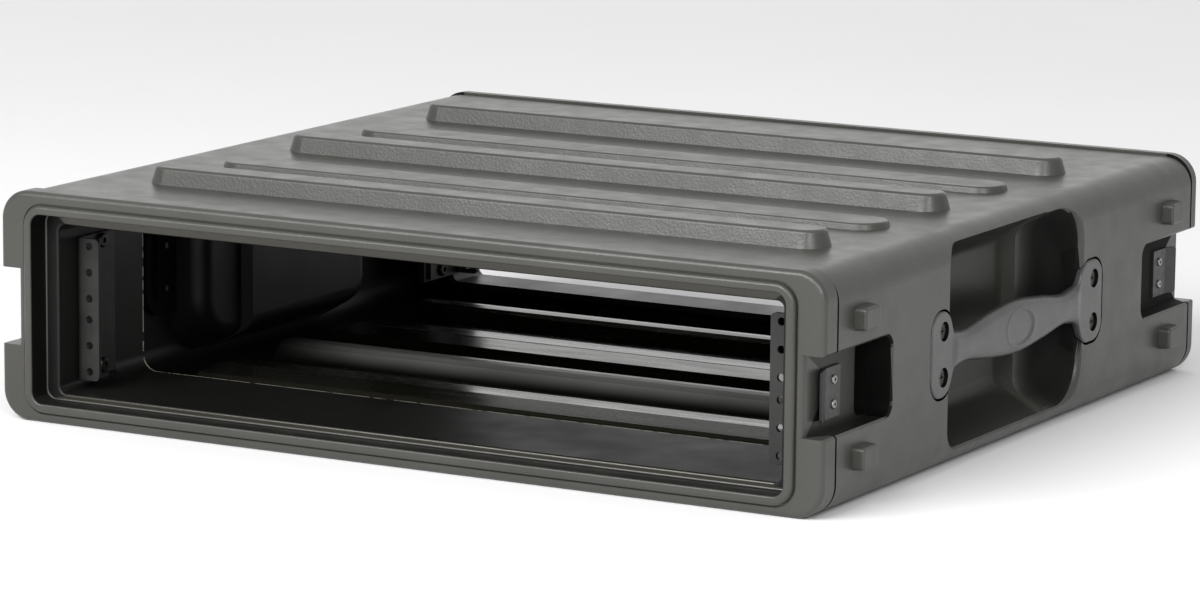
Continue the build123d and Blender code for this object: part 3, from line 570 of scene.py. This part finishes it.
def make_wells():
    """Cutters for the four screw wells of the right handle."""
    cutter = bmesh.new()
    lie_along_x = Matrix.Rotation(math.pi / 2, 4, "Y")
    for y in WELLS_Y:
        for rise in (-WELL_RISE, WELL_RISE):
            place = Matrix.Translation((WELL_FLOOR + WELL_CUTTER / 2, y, HANDLE_Z + rise))
            bmesh.ops.create_cone(cutter, cap_ends=True, segments=WELL_SIDES, radius1=WELL_R, radius2=WELL_R,
                                  depth=WELL_CUTTER, matrix=place @ lie_along_x)
    mesh = bpy.data.meshes.new("wells")
    cutter.to_mesh(mesh)
    cutter.free()
    return bpy.data.objects.new("wells", mesh)


def make_handle_mesh():
    """The right handle's mesh: rings joined along Y, with the wells cut out."""
    work = bmesh.new()
    rings = [[work.verts.new(p) for p in handle_ring(y, shrink)] for y, shrink in handle_stations()]
    for a, b in zip(rings, rings[1:]):
        for i in range(len(a)):
            j = (i + 1) % len(a)
            work.faces.new((a[i], a[j], b[j], b[i]))
    work.faces.new(rings[0][::-1])
    work.faces.new(rings[-1])
    bmesh.ops.recalc_face_normals(work, faces=work.faces)
    mesh = bpy.data.meshes.new("strap_handle_right")
    work.to_mesh(mesh)
    work.free()
    blank = bpy.data.objects.new("blank", mesh)
    wells = make_wells()
    for obj in (blank, wells):
        bpy.context.scene.collection.objects.link(obj)
    cut = blank.modifiers.new("wells", "BOOLEAN")
    cut.operation = "DIFFERENCE"
    cut.solver = "EXACT"
    cut.object = wells
    bpy.context.view_layer.update()
    result = bpy.data.meshes.new_from_object(blank.evaluated_get(bpy.context.evaluated_depsgraph_get()))
    for obj in (blank, wells):
        old = obj.data
        bpy.data.objects.remove(obj)
        bpy.data.meshes.remove(old)
    return result


def in_well(spot):
    """Whether a point of either handle is on the wall or floor of a screw well."""
    side = 1.0 if spot.x > 0 else -1.0
    rise = abs(spot.z - HANDLE_Z) - WELL_RISE
    across = min(abs(spot.y * side - y) for y in WELLS_Y)
    return spot.x * side < PLATE_FRONT - WELL_BRIM and math.hypot(across, rise) < WELL_R + WELL_MARGIN


def make_handles():
    right = make_handle_mesh()
    left = right.copy()
    left.transform(Matrix.Rotation(math.pi, 4, "Z"))
    for side, mesh in (("right", right), ("left", left)):
        mesh.name = f"strap_handle_{side}"
        mesh.shade_smooth()
        mesh.set_sharp_from_angle(angle=math.radians(SHARP_ANGLE))
        handle = bpy.data.objects.new(f"strap_handle_{side}", mesh)
        bpy.context.scene.collection.objects.link(handle)
        dress(handle, "handle_rubber", "shade_plastic")
        for face in mesh.polygons:
            if in_well(face.center):
                face.material_index = 1
        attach(handle, "root")
        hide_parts(f"handle_{side}")


# ---- Floor and light
FLOOR_SIZE = 24.0
WORLD_STRENGTH = 0.72
# name, place, target, width and height, watts
LIGHTS = (
    ("front softbox", (-0.6, -2.6, 1.8), (0, -0.2, 0.05), (2.4, 1.4), 105.0),
    ("side softbox", (1.6, -1.9, 1.2), (0.2, -0.2, 0.05), (1.0, 1.0), 26.0),
    ("backdrop", (-1.9, 3.5, 0.9), (0, 0, 0.15), (5.0, 1.8), 15.0),
)


def make_floor():
    bpy.ops.mesh.primitive_plane_add(size=FLOOR_SIZE, location=(0, 0, 0))
    floor = bpy.context.object
    floor.name = "floor"
    n = Nodes("floor", 0.1)
    n.shader.inputs["Roughness"].default_value = 0.9
    floor.data.materials.append(n.finish(n.mix(n.noise(3.0), (0.80, 0.80, 0.80), (0.84, 0.84, 0.84))))


def make_light():
    world = bpy.data.worlds.new("studio")
    world.use_nodes = True
    background = world.node_tree.nodes["Background"]
    background.inputs["Color"].default_value = (1.0, 1.0, 1.0, 1.0)
    background.inputs["Strength"].default_value = WORLD_STRENGTH
    bpy.context.scene.world = world
    for name, place, target, size, watts in LIGHTS:
        data = bpy.data.lights.new(name, "AREA")
        data.shape = "RECTANGLE"
        data.size, data.size_y = size
        data.energy = watts
        light = bpy.data.objects.new(name, data)
        light.location = place
        light.visible_camera = False
        light.rotation_euler = (Vector(target) - Vector(place)).to_track_quat("-Z", "Y").to_euler()
        bpy.context.scene.collection.objects.link(light)
    bpy.context.scene.view_settings.view_transform = "Standard"


make_camera()
make_floor()
make_light()
dress_cad_nodes()
make_shell_skin()
make_handles()
